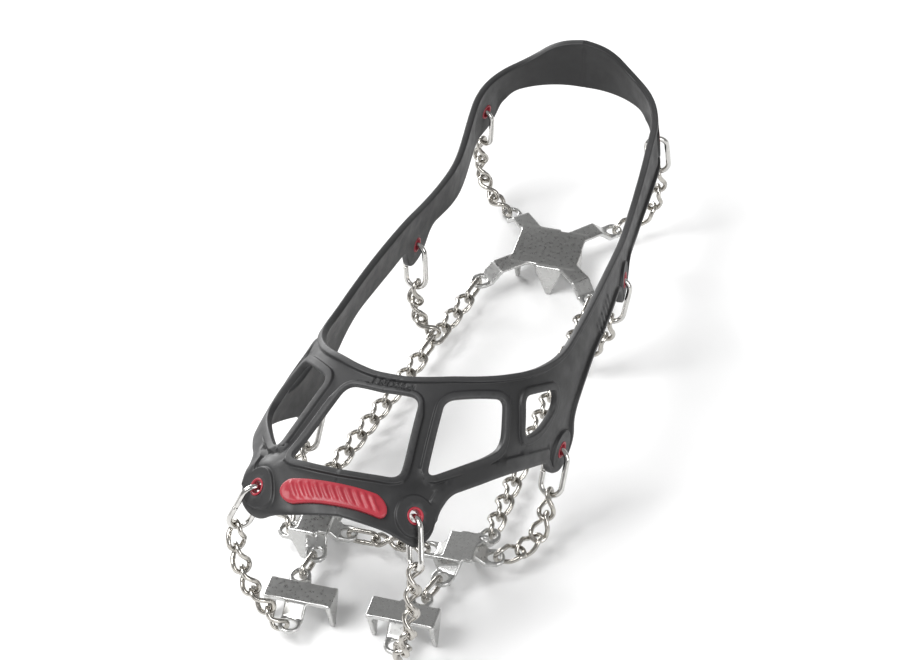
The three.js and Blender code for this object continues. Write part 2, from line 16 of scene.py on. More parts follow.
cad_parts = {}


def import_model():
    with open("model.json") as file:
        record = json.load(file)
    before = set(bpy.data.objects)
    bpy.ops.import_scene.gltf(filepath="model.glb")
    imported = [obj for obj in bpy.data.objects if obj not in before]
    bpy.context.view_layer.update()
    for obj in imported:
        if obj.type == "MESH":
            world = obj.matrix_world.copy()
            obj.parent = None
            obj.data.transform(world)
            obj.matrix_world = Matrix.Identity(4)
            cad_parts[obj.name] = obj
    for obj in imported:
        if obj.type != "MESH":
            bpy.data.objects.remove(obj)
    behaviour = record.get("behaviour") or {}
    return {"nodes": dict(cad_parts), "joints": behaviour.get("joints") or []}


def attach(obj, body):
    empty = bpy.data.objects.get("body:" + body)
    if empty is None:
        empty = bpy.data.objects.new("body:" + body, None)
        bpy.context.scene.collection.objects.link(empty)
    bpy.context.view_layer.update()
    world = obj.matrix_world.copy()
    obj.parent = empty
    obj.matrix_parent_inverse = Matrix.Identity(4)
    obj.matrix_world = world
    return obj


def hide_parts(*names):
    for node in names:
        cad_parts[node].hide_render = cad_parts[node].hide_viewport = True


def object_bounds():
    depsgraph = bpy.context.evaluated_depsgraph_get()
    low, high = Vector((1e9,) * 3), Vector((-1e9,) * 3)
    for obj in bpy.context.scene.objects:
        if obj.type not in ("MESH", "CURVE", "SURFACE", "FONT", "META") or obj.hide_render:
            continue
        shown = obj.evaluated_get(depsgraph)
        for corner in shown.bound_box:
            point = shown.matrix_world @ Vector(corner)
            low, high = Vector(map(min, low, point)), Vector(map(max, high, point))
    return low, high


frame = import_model()
CAD_LOW, CAD_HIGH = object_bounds()
NODES = frame["nodes"]
JOINTS = {joint["child"]: joint for joint in frame["joints"]}
ROOT = "harness_body"
MM = 0.001

# ---- The last: the shoe shape that the harness hugs, as in the CAD source ----
# y, half width, height of the top, height where the sides turn upright, sideways drift
LAST = np.array([
    [-142, 22, 53, 33, -13],
    [-128, 35.5, 59, 33, -20],
    [-108, 43.5, 63.5, 33, -17.5],
    [-85, 47, 72.5, 33, -13],
    [-57, 47.5, 84, 33, -6],
    [-18, 47, 94, 31, 0.5],
    [28, 43.5, 101, 26, 4],
    [86, 38, 107, 20, 5],
    [118, 38.5, 107, 20, 5],
])
LAST_POWER = 2.3       # of the curve that a section follows, 2 for an ellipse
SECTION_STEPS = 96
SKIRT = 60.0           # how far the upright sides run down
NORMAL_REACH = 1.5     # to either side of a place, when its normal is taken
HEEL_Y = 118.0         # behind this the last turns round the heel
HEEL_RADIUS = 38.5
HEEL_SEAM = HEEL_Y + HEEL_RADIUS * math.pi / 2

# ---- The harness pattern: [s, t, corner radius], s down from the centreline and t along the shoe ----
LOWER_EDGE = [
    (0, -137.3, 0), (9, -138, 5), (19, -137, 6), (31.5, -135, 5), (37.5, -131.5, 4), (41, -126.5, 4),
    (38.5, -118.5, 5), (39, -112, 6), (58.6, -87.5, 20), (76, -69.5, 8), (84, -61.5, 5), (93, -59, 9),
    (102.5, -49, 9), (98, -37, 8), (84, -38, 8), (76.5, -19, 16), (81, 10, 16), (84, 31, 5),
    (97.5, 35, 8), (98.5, 48, 8), (90.5, 57, 6), (101, 90, 18), (96, 119, 5), (94, 136, 9),
    (82, 143, 8), (84, HEEL_SEAM, 0),
]
TOP_EDGE = [
    (58, HEEL_SEAM, 0), (60, HEEL_SEAM - 13, 8), (68, HEEL_SEAM - 25, 12), (71, 119, 16), (83, 92, 20),
    (77, 58, 20), (67, 27, 20), (61.5, 2, 16), (57.5, -23, 14), (55.5, -38, 12), (46, -55, 14),
    (31, -70, 16), (14, -78, 10), (6, -80.2, 4), (0, -80.3, 0),
]
CENTRE_WINDOW = [(0, -87.2, 0), (13.8, -86.2, 4), (20.6, -118, 4.5), (8, -120.4, 8), (0, -120.8, 0)]
FLANK_WINDOW = [(22.2, -83.9, 3.5), (40.9, -71.7, 3), (49.8, -84.5, 6), (45, -92.5, 7), (28.3, -112.5, 4)]
SIDE_WINDOW = [(47.7, -64.6, 3), (61, -48.8, 3.5), (66.3, -52.5, 4), (64.6, -64.5, 6), (57.3, -74.3, 3.5)]
EYELETS = {"toe": (30.5, -126.5), "ball": (91, -49), "arch": (89, 42), "rear": (84, 129)}
HOLE_RADIUS = 3.0
BOSS_RADIUS = 7.7
SEAT_MARGIN = 0.8      # the last is pressed flat this far beyond a boss,
SEAT_FALL = 5.0        # and takes this much more to come back to its own shape
SEAT_REACH = 20.0      # no place further than this from an eyelet is moved
SEAT_CIRCLES = (0.4, 0.7, 1.0)

PANEL = 1.95           # height of the plain web over the last
RAISE = 1.1            # how far rims, borders and bosses stand over it
UNDERSIDE = 0.2
EDGE_ROUND = 0.6
RIM_FALL = 0.4         # width of the slope from a rim to the web
WINDOW_RIM = 2.5
EDGE_RIM = 2.0
SLIM_RIM = 1.7         # beside the word, where the web is narrow
SLIM_SPAN = (-92.0, -88.5)
BORDER = 5.0           # the wider border below the band, between the toe and ball bosses
BORDER_SPAN = (-118.0, -64.0)

# ---- Mesh points of the pattern ----
SPACING = 0.9          # along an edge
SEAM_SPACING = 0.5     # across the strap at the back seam
CENTRE_SPACING = 0.4   # across the web on the centreline
GRID = 1.5             # inside the web
WEB_CLEAR = 0.7        # from the grid's points to every other point
NEAREST = 0.07         # size of the cells that keep one point of the rows each
MERGE_WITHIN = 0.02    # points and edges closer than this become one
ROW_TOLERANCE = 0.03   # by which a row may stand nearer an edge than it asks for
CORNER_STEPS = 9
HOLE_POINTS = 32
BOSS_POINTS = 64
CLEAR_OF_EDGE = EDGE_ROUND + 0.15
# Rows of points beside a line, by their distance from it: over the rounded edge, and across a step.
ROUND_ROWS = [EDGE_ROUND * share for share in (0.1, 0.32, 0.65, 1.0)]
HOLE_ROWS = [0.1, 0.3, 0.6]
TOE_EDGE_ROWS = [1.2, 1.8]
STEP_ROWS = [-0.35, 0.0, RIM_FALL * 0.5, RIM_FALL, RIM_FALL + 0.35]
# The shares of a circle's radius among which the lengths of its spokes on the pattern are sought.
SPOKE_SHARES = np.linspace(0.4, 1.8, 29)
TINY = 1e-12
BLOCK = 4000           # points measured at a time
FAR = 1e9


def profile(y, column):
    """A column of the last at y, through its rows by cubic pieces."""
    rows, values = LAST[:, 0], LAST[:, column]
    k = np.clip(np.searchsorted(rows, y) - 1, 0, len(rows) - 2)
    slopes = np.empty(len(rows))
    slopes[1:-1] = (values[2:] - values[:-2]) / (rows[2:] - rows[:-2])
    slopes[0] = (values[1] - values[0]) / (rows[1] - rows[0])
    slopes[-1] = (values[-1] - values[-2]) / (rows[-1] - rows[-2])
    span = rows[k + 1] - rows[k]
    u = np.clip((y - rows[k]) / span, 0, 1)
    rise = u * u * (3 - 2 * u)
    bulge = span * u * (1 - u) * ((1 - u) * slopes[k] - u * slopes[k + 1])
    return values[k] * (1 - rise) + values[k + 1] * rise + bulge


def last_point(s, t):
    """Points of the last, in millimetres, at pattern places s and t."""
    y = np.minimum(t, HEEL_Y)
    width, top, base, drift = (profile(y, column)[:, None] for column in (1, 2, 3, 4))
    angle = np.linspace(0, math.pi / 2, SECTION_STEPS)[None]
    x = np.hstack([width * np.sin(angle) ** (2 / LAST_POWER), width])
    z = np.hstack([base + (top - base) * np.cos(angle).clip(0) ** (2 / LAST_POWER), base - SKIRT])
    along = np.hstack([np.zeros((len(y), 1)), np.cumsum(np.hypot(np.diff(x), np.diff(z)), axis=1)])
    down = np.abs(s)[:, None]
    k = np.clip((along < down).sum(axis=1), 1, along.shape[1] - 1)[:, None]
    before, after = np.take_along_axis(along, k - 1, 1), np.take_along_axis(along, k, 1)
    mix = (down - before) / (after - before)
    out = (np.take_along_axis(x, k - 1, 1) * (1 - mix) + np.take_along_axis(x, k, 1) * mix)[:, 0]
    high = (np.take_along_axis(z, k - 1, 1) * (1 - mix) + np.take_along_axis(z, k, 1) * mix)[:, 0]
    turn = np.maximum(t - HEEL_Y, 0) / HEEL_RADIUS
    side = np.where(s < 0, -1, 1)
    return np.stack([drift[:, 0] + side * out * np.cos(turn), y + out * np.sin(turn), high], axis=1)


def last_normal(s, t):
    """Outward unit normals of the last, taken over a few millimetres so that they vary smoothly."""
    step = NORMAL_REACH
    side = np.where(s < 0, -1, 1)
    down = np.maximum(np.abs(s), step)
    around = np.minimum(t, HEEL_SEAM - step)
    across = last_point(side * (down + step), around) - last_point(side * (down - step), around)
    forward = last_point(side * down, around + step) - last_point(side * down, around - step)
    normal = np.cross(across, forward) * side[:, None]
    off_centre = np.minimum(np.abs(s), HEEL_SEAM - t) / step
    normal[:, 0] *= np.clip(off_centre, 0, 1)
    return normal / np.linalg.norm(normal, axis=1, keepdims=True)


# ---- Pattern lines ----
def rounded(points, closed):
    """The points of a line with rounded corners, evenly spaced."""
    line = []
    corners = [np.array(p[:2], float) for p in points]
    for i, corner in enumerate(corners):
        radius = points[i][2]
        if radius == 0 or (not closed and i in (0, len(points) - 1)):
            line.append(corner)
            continue
        before = corners[i - 1] - corner
        after = corners[(i + 1) % len(corners)] - corner
        lengths = np.linalg.norm(before), np.linalg.norm(after)
        cut = min(radius, lengths[0] / 2, lengths[1] / 2)
        enter, leave = corner + before / lengths[0] * cut, corner + after / lengths[1] * cut
        for u in np.linspace(0, 1, CORNER_STEPS):
            line.append((1 - u) ** 2 * enter + 2 * u * (1 - u) * corner + u * u * leave)
    if closed:
        line.append(line[0])
    return even(np.array(line), SPACING)


def even(line, spacing):
    """The same line with points an even distance apart, near the spacing asked for."""
    lengths = np.concatenate([[0], np.cumsum(np.linalg.norm(np.diff(line, axis=0), axis=1))])
    stops = np.linspace(0, lengths[-1], max(int(round(lengths[-1] / spacing)), 2) + 1)
    return np.stack([np.interp(stops, lengths, line[:, c]) for c in (0, 1)], axis=1)


def reach(points, at):
    """Straight distances in space from an eyelet to pattern points, both taken on the last."""
    middle = last_point(np.array([float(at[0])]), np.array([float(at[1])]))
    return np.linalg.norm(last_point(points[:, 0], points[:, 1]) - middle, axis=1)


def circle_on_last(at, radius, count):
    """The pattern line whose points all stand at one straight distance from an eyelet."""
    angle = np.linspace(0, 2 * math.pi, count + 1)
    spokes = np.stack([np.cos(angle), np.sin(angle)], axis=1)
    line = []
    for spoke in spokes:
        gaps = reach(np.array(at) + spoke * (SPOKE_SHARES * radius)[:, None], at)
        line.append(np.array(at) + spoke * radius * np.interp(radius, gaps, SPOKE_SHARES))
    return np.array(line)


def distance(points, line):
    """Distance of each point from a polyline."""
    nearest = np.full(len(points), FAR)
    starts, ends = line[:-1], line[1:]
    run = ends - starts
    squared = (run ** 2).sum(axis=1) + TINY
    for block in range(0, len(points), BLOCK):
        p = points[block:block + BLOCK, None]
        u = np.clip(((p - starts) * run).sum(axis=2) / squared, 0, 1)
        gap = p - starts - u[..., None] * run
        nearest[block:block + BLOCK] = np.sqrt((gap ** 2).sum(axis=2).min(axis=1))
    return nearest


def inside(points, loop):
    """Whether each point lies inside a closed loop, by counting crossings."""
    x, y = points[:, 0], points[:, 1]
    hits = np.zeros(len(points), bool)
    for (x0, y0), (x1, y1) in zip(loop, np.roll(loop, -1, axis=0)):
        if y0 == y1:
            continue
        crosses = (y0 > y) != (y1 > y)
        hits ^= crosses & (x < (x1 - x0) * (y - y0) / (y1 - y0) + x0)
    return hits


def offset_rows(line, distances):
    """Copies of a line on both of its sides. A distance may change from point to point."""
    run = np.gradient(line, axis=0)
    run /= np.linalg.norm(run, axis=1, keepdims=True) + TINY
    aside = np.stack([-run[:, 1], run[:, 0]], axis=1)
    widths = [np.full(len(line), d) if np.isscalar(d) else d for d in distances]
    return [(line + side * d[:, None] * aside, d) for d in widths for side in (1, -1)]


def fall(distance_from_core, width, slope):
    """1 up to a width and 0 past it, with a smooth slope between."""
    u = np.clip((width + slope - distance_from_core) / slope, 0, 1)
    return u * u * (3 - 2 * u)


def edge_drop(d, radius):
    """How far a rounded edge lies under the face, at a distance from the outline."""
    inner = radius - np.minimum(d, radius)
    return radius - np.sqrt(radius ** 2 - inner ** 2)


def within_pattern(points, loop, openings):
    """Whether each point lies inside the loop and outside every opening."""
    within = inside(points, loop)
    for opening in openings:
        within &= ~inside(points, opening)
    return within


def grid_over(loop, openings):
    """A square grid of points over the pattern."""
    low, high = loop.min(axis=0), loop.max(axis=0)
    grid = np.stack(np.meshgrid(np.arange(low[0], high[0], GRID), np.arange(low[1], high[1], GRID)), -1)
    grid = grid.reshape(-1, 2)
    return grid[within_pattern(grid, loop, openings)]


def thinned(points):
    """One point of each small cell, in the order given."""
    cells = np.round(points / NEAREST).astype(int)
    first = np.unique(cells, axis=0, return_index=True)[1]
    return points[np.sort(first)]


def triangulate(loop, openings, edges, rows, steps, keep_clear):
    """Triangles of a flat pattern. Each row of points keeps its own distance from every edge.

    The sides of triangles follow the lines in steps wherever those are clear of the edges.
    """
    fixed = [loop[:-1] if np.allclose(loop[0], loop[-1]) else loop]
    fixed += [opening[:-1] for opening in openings]

    def clear(points, least):
        gap = np.min([distance(points, edge) for edge in edges], axis=0)
        return within_pattern(points, fixed[0], openings) & (gap > least - ROW_TOLERANCE)

    in_rows = thinned(np.vstack([points[clear(points, least)] for points, least in rows]))
    traced, sides = [], []
    for line in steps:
        usable = clear(line, CLEAR_OF_EDGE)
        place = sum(len(points) for points in traced) + np.cumsum(usable) - 1
        sides += [(place[i], place[i + 1]) for i in np.flatnonzero(usable[:-1] & usable[1:])]
        traced.append(line[usable])

    grid = grid_over(fixed[0], openings)
    taken = np.vstack([in_rows, *fixed, *traced])
    gaps_squared = np.array([np.min(((taken - p) ** 2).sum(axis=1)) for p in grid])
    in_web = grid[gaps_squared > keep_clear ** 2]

    points = np.vstack([*fixed, *traced, in_rows, in_web])
    constraints = []
    start = 0
    for ring in fixed:
        count = len(ring)
        constraints += [(start + i, start + (i + 1) % count) for i in range(count)]
        start += count
    constraints += [(int(start + i), int(start + j)) for i, j in sides]
    made = delaunay_2d_cdt([Vector(p) for p in points], constraints, [], 0, MERGE_WITHIN)
    flat = np.array([tuple(v) for v in made[0]])
    faces = np.array([f for f in made[2] if len(f) == 3])
    return flat, faces[within_pattern(flat[faces].mean(axis=1), fixed[0], openings)]


def two_sided(flat, faces, outer, inner):
    """The corners and faces of a sheet: an outer and an inner skin, and walls along its open edges."""
    count = len(flat)
    points = np.vstack([place_on_last(flat, outer), place_on_last(flat, inner)])
    everything = [tuple(f) for f in faces] + [tuple(f[::-1] + count) for f in faces]
    sides = dict.fromkeys(side for a, b, c in faces for side in ((a, b), (b, c), (c, a)))
    for a, b in sides:
        if (b, a) not in sides:
            everything.append((b, a, a + count, b + count))
    return points, everything


def boss_seat(at, side):
    """The middle and normal of the plane that lies closest to the last under a boss."""
    circles = [circle_on_last(at, BOSS_RADIUS * share, BOSS_POINTS) for share in SEAT_CIRCLES]
    places = np.vstack([circle[:-1] for circle in circles])
    points = last_point(side * places[:, 0], places[:, 1])
    middle = points.mean(axis=0)
    normal = np.linalg.svd(points - middle)[2][2]
    outward = last_normal(np.array([side * at[0]]), np.array([float(at[1])]))[0]
    return middle, normal * np.sign(normal.dot(outward))


def place_on_last(flat, heights):
    """Points over the last, which is pressed flat under the bosses."""
    s, t = flat[:, 0], flat[:, 1]
    base, normals = last_point(s, t), last_normal(s, t)
    for at in EYELETS.values():
        for side in (1.0, -1.0):
            near = np.hypot(side * s - at[0], t - at[1]) < SEAT_REACH
            if not near.any():
                continue
            middle, normal = boss_seat(at, side)
            gaps = reach(folded(flat[near]), at)
            share = fall(gaps, BOSS_RADIUS + SEAT_MARGIN, SEAT_FALL)[:, None]
            base[near] -= share * normal * ((base[near] - middle) @ normal)[:, None]
            mixed = normals[near] * (1 - share) + normal * share
            normals[near] = mixed / np.linalg.norm(mixed, axis=1, keepdims=True)
    return base + normals * heights[:, None]


def folded(flat):
    """The same places on the half whose s is positive."""
    return np.stack([np.abs(flat[:, 0]), flat[:, 1]], axis=1)


# ---- Objects ----
WELD_WITHIN = 0.02 * MM


def new_object(name, points, faces, look):
    """A mesh object from points in millimetres."""
    mesh = bpy.data.meshes.new(name)
    corners = [tuple(p) for p in np.asarray(points) * MM]
    mesh.from_pydata(corners, [], [tuple(int(i) for i in f) for f in faces])
    mesh.validate()
    mesh.update()
    obj = bpy.data.objects.new(name, mesh)
    bpy.context.scene.collection.objects.link(obj)
    obj.data.materials.append(look)
    return obj


def clean(obj):
    """Merges touching corners, turns every face outwards and shades it smooth."""
    work = bmesh.new()
    work.from_mesh(obj.data)
    bmesh.ops.remove_doubles(work, verts=work.verts, dist=WELD_WITHIN)
    bmesh.ops.recalc_face_normals(work, faces=work.faces)
    work.to_mesh(obj.data)
    work.free()
    obj.data.shade_smooth()


# ---- Materials ----
NOISE_ROUGHNESS = 0.55
NOISE_RANGE = (0.3, 0.7)
ELASTOMER_TONES = [(0.3, (0.010, 0.010, 0.0105)), (0.7, (0.017, 0.017, 0.018))]
RUBBED_TONE = (0.036, 0.036, 0.037, 1)
MOTTLE_DARKER = 0.78


def new_material(name):
    """A material, its node tree and its shader."""
    material = bpy.data.materials.new(name)
    material.use_nodes = True
    tree = material.node_tree
    return material, tree, tree.nodes["Principled BSDF"]


def noise(tree, scale, detail, grain=(1, 1, 1)):
    """Noise over the piece's own space. A part of grain below 1 draws it out along that axis."""
    place = tree.nodes.new("ShaderNodeTexCoord")
    mapping = tree.nodes.new("ShaderNodeMapping")
    mapping.inputs["Scale"].default_value = grain
    tree.links.new(place.outputs["Object"], mapping.inputs["Vector"])
    texture = tree.nodes.new("ShaderNodeTexNoise")
    texture.inputs["Scale"].default_value = scale
    texture.inputs["Detail"].default_value = detail
    texture.inputs["Roughness"].default_value = NOISE_ROUGHNESS
    tree.links.new(mapping.outputs["Vector"], texture.inputs["Vector"])
    return texture.outputs["Fac"]


def ramp(tree, value, stops):
    """A value turned into colour, through stops of (position, colour)."""
    node = tree.nodes.new("ShaderNodeValToRGB")
    node.color_ramp.elements[0].position = stops[0][0]
    node.color_ramp.elements[0].color = (*stops[0][1], 1)
    node.color_ramp.elements[1].position = stops[-1][0]
    node.color_ramp.elements[1].color = (*stops[-1][1], 1)
    for position, color in stops[1:-1]:
        node.color_ramp.elements.new(position).color = (*color, 1)
    tree.links.new(value, node.inputs["Fac"])
    return node.outputs["Color"]


def spread(tree, value, low, high):
    """Noise stretched from its usual range to run between low and high."""
    node = tree.nodes.new("ShaderNodeMapRange")
    node.inputs["From Min"].default_value, node.inputs["From Max"].default_value = NOISE_RANGE
    node.inputs["To Min"].default_value = low
    node.inputs["To Max"].default_value = high
    tree.links.new(value, node.inputs["Value"])
    return node.outputs["Result"]


def bump(tree, shader, layers):
    """Bump layers as (height, strength, distance in metres), one over another."""
    normal = None
    for height, strength, depth in layers:
        node = tree.nodes.new("ShaderNodeBump")
        node.inputs["Strength"].default_value = strength
        node.inputs["Distance"].default_value = depth
        tree.links.new(height, node.inputs["Height"])
        if normal is not None:
            tree.links.new(normal, node.inputs["Normal"])
        normal = node.outputs["Normal"]
    tree.links.new(normal, shader.inputs["Normal"])


def elastomer():
    """Charcoal moulded elastomer: fine pebble, faint flow clouds and paler rims where it has rubbed."""
    material, tree, shader = new_material("harness_elastomer")
    tone = ramp(tree, noise(tree, 45, 5), ELASTOMER_TONES)
    wear = tree.nodes.new("ShaderNodeAttribute")
    wear.attribute_name = "wear"
    speckle = noise(tree, 900, 3)
    share = tree.nodes.new("ShaderNodeMath")
    share.operation = "MULTIPLY"
    tree.links.new(wear.outputs["Fac"], share.inputs[0])
    tree.links.new(spread(tree, speckle, 0.5, 1.0), share.inputs[1])
    mix = tree.nodes.new("ShaderNodeMix")
    mix.data_type = "RGBA"
    tree.links.new(share.outputs[0], mix.inputs["Factor"])
    tree.links.new(tone, mix.inputs["A"])
    mix.inputs["B"].default_value = RUBBED_TONE
    tree.links.new(mix.outputs["Result"], shader.inputs["Base Color"])
    tree.links.new(spread(tree, noise(tree, 160, 4), 0.44, 0.58), shader.inputs["Roughness"])
    bump(tree, shader, [(noise(tree, 2600, 2), 0.22, 0.00012), (noise(tree, 140, 3), 0.12, 0.0005)])
    return material


def red_plastic(name, base, roughness):
    """Moulded red plastic with a slight mottle."""
    material, tree, shader = new_material(name)
    darker = tuple(MOTTLE_DARKER * c for c in base)
    tone = ramp(tree, noise(tree, 120, 4), [(0.3, darker), (0.65, base)])
    gloss = spread(tree, noise(tree, 400, 3), roughness - 0.05, roughness + 0.08)
    tree.links.new(tone, shader.inputs["Base Color"])
    tree.links.new(gloss, shader.inputs["Roughness"])
    bump(tree, shader, [(noise(tree, 1800, 2), 0.15, 0.0001)])
    return material


def steel(name, light, dark, smooth, dull, grain):
    """Bright steel: patches of a darker tone, uneven gloss, and fine scratches along the grain."""
    material, tree, shader = new_material(name)
    shader.inputs["Metallic"].default_value = 1.0
    tone = ramp(tree, noise(tree, 420, 6), [(0.25, dark), (0.6, light)])
    tree.links.new(tone, shader.inputs["Base Color"])
    tree.links.new(spread(tree, noise(tree, 700, 4), smooth, dull), shader.inputs["Roughness"])
    bump(tree, shader, [
        (noise(tree, 900, 3, grain), 0.07, 0.00005),
        (noise(tree, 240, 2), 0.06, 0.0002),
    ])
    return material


ELASTOMER = elastomer()
LABEL_RED = red_plastic("label_red", (0.34, 0.022, 0.036), 0.40)
EYELET_RED = red_plastic("eyelet_red", (0.34, 0.020, 0.036), 0.40)
RING_STEEL = steel("ring_steel", (0.64, 0.63, 0.61), (0.50, 0.49, 0.47), 0.10, 0.20, (1, 1, 0.15))
CHAIN_STEEL = steel("chain_steel", (0.52, 0.50, 0.465), (0.30, 0.285, 0.26), 0.13, 0.28, (1, 1, 0.3))
PLATE_STEEL = steel("spike_steel", (0.56, 0.56, 0.55), (0.50, 0.50, 0.49), 0.25, 0.36, (0.08, 1, 1))


# ---- Marks on the harness ----
# Half the width of a stroke's floor or a rib's top, its depth or height, and the width of its slopes.
MARK_HALF = 0.2
MARK_DEEP = 0.55
MARK_FALL = 0.2
RIB_HALF = 0.5
RIB_HIGH = 0.45
RIB_FALL = 0.3
MARK_ROWS = [0.08, MARK_HALF, MARK_HALF + MARK_FALL]
RIB_ROWS = [0.15, RIB_HALF, RIB_HALF + RIB_FALL]
# The word that says which end is the front, in strokes on a grid 2 wide and 3 high, upright for the wearer.
WORD = "FRONT"
WORD_AT = (9.4, -82.75)
LETTER_STEP = 3.3
LETTER_SCALE = 0.72    # of the grid along the shoe; across it the grid is in millimetres
WORD_SPACING = 0.35
STROKES = {
    "F": [[(0, 0), (0, 3), (2, 3)], [(0, 1.6), (1.6, 1.6)]],
    "R": [[(0, 0), (0, 3), (1.6, 3), (2, 2.6), (2, 2), (1.6, 1.6), (0, 1.6)], [(0.9, 1.6), (2, 0)]],
    "O": [[(0.6, 0), (1.5, 0), (2.1, 0.7), (2.1, 2.3), (1.5, 3), (0.6, 3), (0, 2.3), (0, 0.7), (0.6, 0)]],
    "N": [[(0, 0), (0, 3), (2, 0), (2, 3)]],
    "T": [[(0, 3), (2.2, 3)], [(1.1, 0), (1.1, 3)]],
}
# Short raised bars in place of a mark on the strap: the middle of the first, and the step to the next.
STRAP_MARK_AT = (75, 14)
STRAP_MARK_STEP = (-0.1, -3.6)
STRAP_MARK_COUNT = 6
STRAP_MARK_ARM = (2.6, 1.0)
STRAP_MARK_SPACING = 0.5


def strap_marks():
    """The middle line of each bar on the strap."""
    lines = []
    for i in range(STRAP_MARK_COUNT):
        middle = np.array(STRAP_MARK_AT) + i * np.array(STRAP_MARK_STEP)
        lines.append(even(np.array([middle - STRAP_MARK_ARM, middle + STRAP_MARK_ARM]), STRAP_MARK_SPACING))
    return lines


def word_marks():
    """The strokes of the word, as pattern lines."""
    lines = []
    for i, letter in enumerate(WORD):
        for stroke in STROKES[letter]:
            places = [(WORD_AT[0] - LETTER_STEP * i - x, WORD_AT[1] - LETTER_SCALE * y) for x, y in stroke]
            lines.append(even(np.array(places), WORD_SPACING))
    return lines


# ---- Harness ----
WINDOWS = ("flank", "side")
WEAR_FALL = 0.8        # width over which the rubbed look fades, from a rounded edge inwards


def pattern_edges():
    """The edges of half the harness by name, and the closed line round that half."""
    lower, top = rounded(LOWER_EDGE, False), rounded(TOP_EDGE, False)
    centre = rounded(CENTRE_WINDOW, False)
    flank, side = rounded(FLANK_WINDOW, True), rounded(SIDE_WINDOW, True)
    seam = even(np.array([lower[-1], top[0]]), SEAM_SPACING)
    middle_top = even(np.array([top[-1], centre[0]]), CENTRE_SPACING)
    middle_low = even(np.array([centre[-1], lower[0]]), CENTRE_SPACING)
    loop = np.vstack([lower, seam[1:-1], top, middle_top[1:-1], centre, middle_low[1:-1]])
    return {"lower": lower, "top": top, "centre": centre, "flank": flank, "side": side}, loop


def rim_width(name, t):
    """Width of the rim beside an edge, at places t along the shoe."""
    if name == "centre":
        return np.interp(t, SLIM_SPAN, (WINDOW_RIM, SLIM_RIM))
    return np.full(len(t), WINDOW_RIM if name in WINDOWS else EDGE_RIM)


def harness_rows(rims, border, toe_edge, holes, ribs, word):
    """Rows of mesh points beside every line, each with the least distance that it keeps from an edge."""
    rows = []
    for name, line in rims.items():
        width = rim_width(name, line[:, 1])
        rows += offset_rows(line, ROUND_ROWS + [width + extra for extra in STEP_ROWS])
    rows += offset_rows(border, [BORDER + extra for extra in STEP_ROWS])
    rows += offset_rows(toe_edge, ROUND_ROWS + TOE_EDGE_ROWS)
    for hole in holes:
        rows += offset_rows(hole, HOLE_ROWS)
    for rib in ribs:
        rows += [(row, CLEAR_OF_EDGE) for row, _ in offset_rows(rib, RIB_ROWS)]
    for stroke in word:
        rows += [(row, CLEAR_OF_EDGE) for row, _ in offset_rows(folded(stroke), MARK_ROWS)]
    return rows


def raised_share(flat, rims, border):
    """1 on rims, borders and bosses, and 0 on the web between them."""
    shares = []
    for name, line in rims.items():
        shares.append(fall(distance(flat, line), rim_width(name, flat[:, 1]), RIM_FALL))
    shares.append(fall(distance(flat, border), BORDER, RIM_FALL))
    shares += [fall(reach(flat, at), BOSS_RADIUS, RIM_FALL) for at in EYELETS.values()]
    return np.max(shares, axis=0)


def marks_share(flat, lines, half_width, slope):
    """1 along any of the lines, and 0 away from them."""
    return np.max([fall(distance(flat, line), half_width, slope) for line in lines], axis=0)


def harness():
    """The moulded piece: half its pattern in relief, laid on both sides of the last."""
    edges, loop = pattern_edges()
    holes = [circle_on_last(at, HOLE_RADIUS, HOLE_POINTS) for at in EYELETS.values()]
    openings = [edges[name] for name in WINDOWS] + holes
    every_edge = [*edges.values(), *holes]
    lower = edges["lower"]
    past_toe = lower[:, 1] > BORDER_SPAN[0]
    rims = dict(edges, lower=lower[np.argmax(past_toe):])
    border = lower[past_toe & (lower[:, 1] < BORDER_SPAN[1])]
    ribs, word = strap_marks(), word_marks()
    rows = harness_rows(rims, border, lower[~past_toe], holes, ribs, word)
    steps = [circle_on_last(at, BOSS_RADIUS + extra, BOSS_POINTS)
             for at in EYELETS.values() for extra in STEP_ROWS]
    flat, faces = triangulate(loop, openings, every_edge, rows, steps, WEB_CLEAR)

    raised = raised_share(flat, rims, border)
    barred = marks_share(flat, ribs, RIB_HALF, RIB_FALL)
    gap = np.min([distance(flat, edge) for edge in every_edge], axis=0)
    drop = edge_drop(gap, EDGE_ROUND)
    inner = UNDERSIDE + drop
    rubbed = raised * fall(gap, EDGE_ROUND, WEAR_FALL)

    halves, everything = [], []
    for mirror in (1, -1):
        half = flat * (mirror, 1)
        written = marks_share(half, word, MARK_HALF, MARK_FALL)
        outer = PANEL + RAISE * raised + RIB_HIGH * barred - MARK_DEEP * written - drop
        corners, ends = two_sided(half, faces[:, ::mirror], outer, inner)
        start = len(halves) * len(corners)
        everything += [tuple(int(i) + start for i in f) for f in ends]
        halves.append(corners)
    obj = new_object("harness_sheet", np.vstack(halves), everything, ELASTOMER)
    wear = np.tile(np.concatenate([rubbed, np.zeros(len(flat))]), len(halves))
    attribute = obj.data.attributes.new("wear", "FLOAT", "POINT")
    attribute.data.foreach_set("value", wear.astype(np.float32))
    clean(obj)
    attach(obj, ROOT)
    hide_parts("harness")


